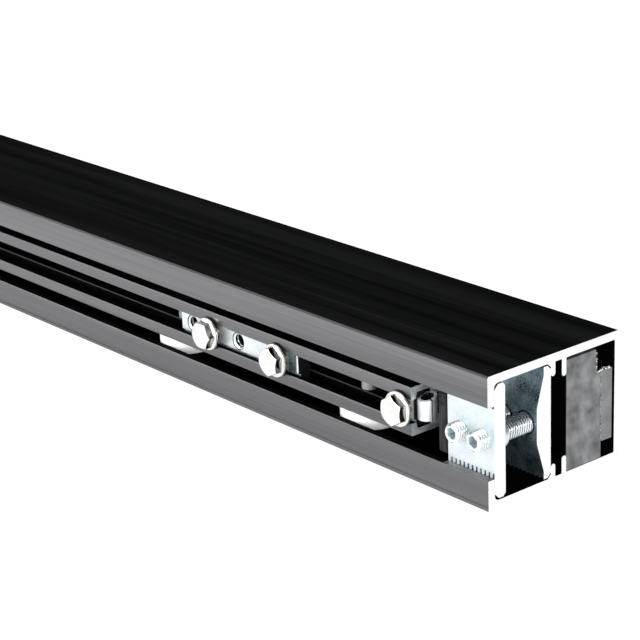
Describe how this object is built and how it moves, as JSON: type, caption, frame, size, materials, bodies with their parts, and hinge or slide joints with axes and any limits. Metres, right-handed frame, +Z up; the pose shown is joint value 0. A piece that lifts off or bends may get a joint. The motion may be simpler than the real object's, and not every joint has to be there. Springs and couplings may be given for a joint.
{
  "type": "sliding door operator",
  "caption": "Linear-motor sliding door operator: slotted aluminium housing with a stator, a magnet carriage on rollers with T-slot door hangers, and clamped end stops.",
  "frame": {"origin": "centre of the side wall that the housing lies on, at mid length and mid depth", "axes": "+X along the profile towards the end shown in the picture, +Y from the hanger slot to the fixing face, +Z up across the side walls"},
  "size_m": [1.2, 0.0892, 0.065],
  "materials": {
    "anodised": "black anodised, satin",
    "potting": "grey potting compound, mottled",
    "key_steel": "grey coated steel strip",
    "lamination": "stacked sheet steel",
    "copper": "enamelled copper wire",
    "board": "solder mask",
    "sensor": "moulded black",
    "zinc": "bright zinc plated",
    "rubber": "moulded rubber",
    "magnet_steel": "ground steel",
    "magnet": "nickel plated",
    "bright_steel": "ground and hardened",
    "bolt_steel": "bright stainless",
    "nylon": "white nylon"
  },
  "bodies": {
    "housing": {"housing": "anodised", "near_stator_potting": "potting", "near_stator_key": "key_steel", "near_stator_core": "lamination", "near_stator_coils": "copper", "far_stator_potting": "potting", "far_stator_key": "key_steel", "far_stator_core": "lamination", "far_stator_coils": "copper", "sensor_board": "board", "position_sensors": "sensor", "near_stop_plate": "zinc", "near_stop_jaw": "zinc", "near_stop_screws": "zinc", "near_stop_bumper": "rubber", "far_stop_plate": "zinc", "far_stop_jaw": "zinc", "far_stop_screws": "zinc", "far_stop_bumper": "rubber"},
    "carriage": {"carriage_beam": "anodised", "magnet_plate": "magnet_steel", "magnets": "magnet", "magnet_plate_screws": "bright_steel", "axles": "bright_steel", "axle_spacers": "bright_steel", "axle_clips": "bright_steel", "bearing_inner_rings": "bright_steel", "bearing_balls": "bright_steel", "near_striker": "zinc", "far_striker": "zinc", "striker_bolts": "bolt_steel"},
    "near_hanger": {"near_hanger_bar": "zinc", "near_hanger_bolts": "bolt_steel"},
    "far_hanger": {"far_hanger_bar": "zinc", "far_hanger_bolts": "bolt_steel"},
    "roller_1": {"roller_tyre_1": "nylon", "bearing_outer_ring_1": "bright_steel"},
    "roller_2": {"roller_tyre_2": "nylon", "bearing_outer_ring_2": "bright_steel"},
    "roller_3": {"roller_tyre_3": "nylon", "bearing_outer_ring_3": "bright_steel"},
    "roller_4": {"roller_tyre_4": "nylon", "bearing_outer_ring_4": "bright_steel"},
    "roller_5": {"roller_tyre_5": "nylon", "bearing_outer_ring_5": "bright_steel"},
    "roller_6": {"roller_tyre_6": "nylon", "bearing_outer_ring_6": "bright_steel"},
    "roller_7": {"roller_tyre_7": "nylon", "bearing_outer_ring_7": "bright_steel"},
    "roller_8": {"roller_tyre_8": "nylon", "bearing_outer_ring_8": "bright_steel"}
  },
  "joints": [
    {"name": "carriage_slide", "type": "slide", "parent": "housing", "child": "carriage", "axis": [1, 0, 0], "range_m": [-0.5032, 0.0092]},
    {"name": "near_hanger_slide", "type": "slide", "parent": "carriage", "child": "near_hanger", "axis": [1, 0, 0], "range_m": [-0.04, 0.04]},
    {"name": "far_hanger_slide", "type": "slide", "parent": "carriage", "child": "far_hanger", "axis": [1, 0, 0], "range_m": [-0.04, 0.04]},
    {"name": "roller_1_spin", "type": "hinge", "parent": "carriage", "child": "roller_1", "pos_m": [0.499, -0.0232, 0.0129], "axis": [0, 0, 1], "continuous": true},
    {"name": "roller_2_spin", "type": "hinge", "parent": "carriage", "child": "roller_2", "pos_m": [0.499, -0.0232, 0.0521], "axis": [0, 0, 1], "continuous": true},
    {"name": "roller_3_spin", "type": "hinge", "parent": "carriage", "child": "roller_3", "pos_m": [0.35, -0.0232, 0.0129], "axis": [0, 0, 1], "continuous": true},
    {"name": "roller_4_spin", "type": "hinge", "parent": "carriage", "child": "roller_4", "pos_m": [0.35, -0.0232, 0.0521], "axis": [0, 0, 1], "continuous": true},
    {"name": "roller_5_spin", "type": "hinge", "parent": "carriage", "child": "roller_5", "pos_m": [0.144, -0.0232, 0.0129], "axis": [0, 0, 1], "continuous": true},
    {"name": "roller_6_spin", "type": "hinge", "parent": "carriage", "child": "roller_6", "pos_m": [0.144, -0.0232, 0.0521], "axis": [0, 0, 1], "continuous": true},
    {"name": "roller_7_spin", "type": "hinge", "parent": "carriage", "child": "roller_7", "pos_m": [-0.005, -0.0232, 0.0129], "axis": [0, 0, 1], "continuous": true},
    {"name": "roller_8_spin", "type": "hinge", "parent": "carriage", "child": "roller_8", "pos_m": [-0.005, -0.0232, 0.0521], "axis": [0, 0, 1], "continuous": true}
  ],
  "couplings": [
    {"joint": "roller_1_spin", "follows": "carriage_slide", "rad_per_m": -66.667},
    {"joint": "roller_2_spin", "follows": "carriage_slide", "rad_per_m": -66.667},
    {"joint": "roller_3_spin", "follows": "carriage_slide", "rad_per_m": -66.667},
    {"joint": "roller_4_spin", "follows": "carriage_slide", "rad_per_m": -66.667},
    {"joint": "roller_5_spin", "follows": "carriage_slide", "rad_per_m": -66.667},
    {"joint": "roller_6_spin", "follows": "carriage_slide", "rad_per_m": -66.667},
    {"joint": "roller_7_spin", "follows": "carriage_slide", "rad_per_m": -66.667},
    {"joint": "roller_8_spin", "follows": "carriage_slide", "rad_per_m": -66.667}
  ]
}
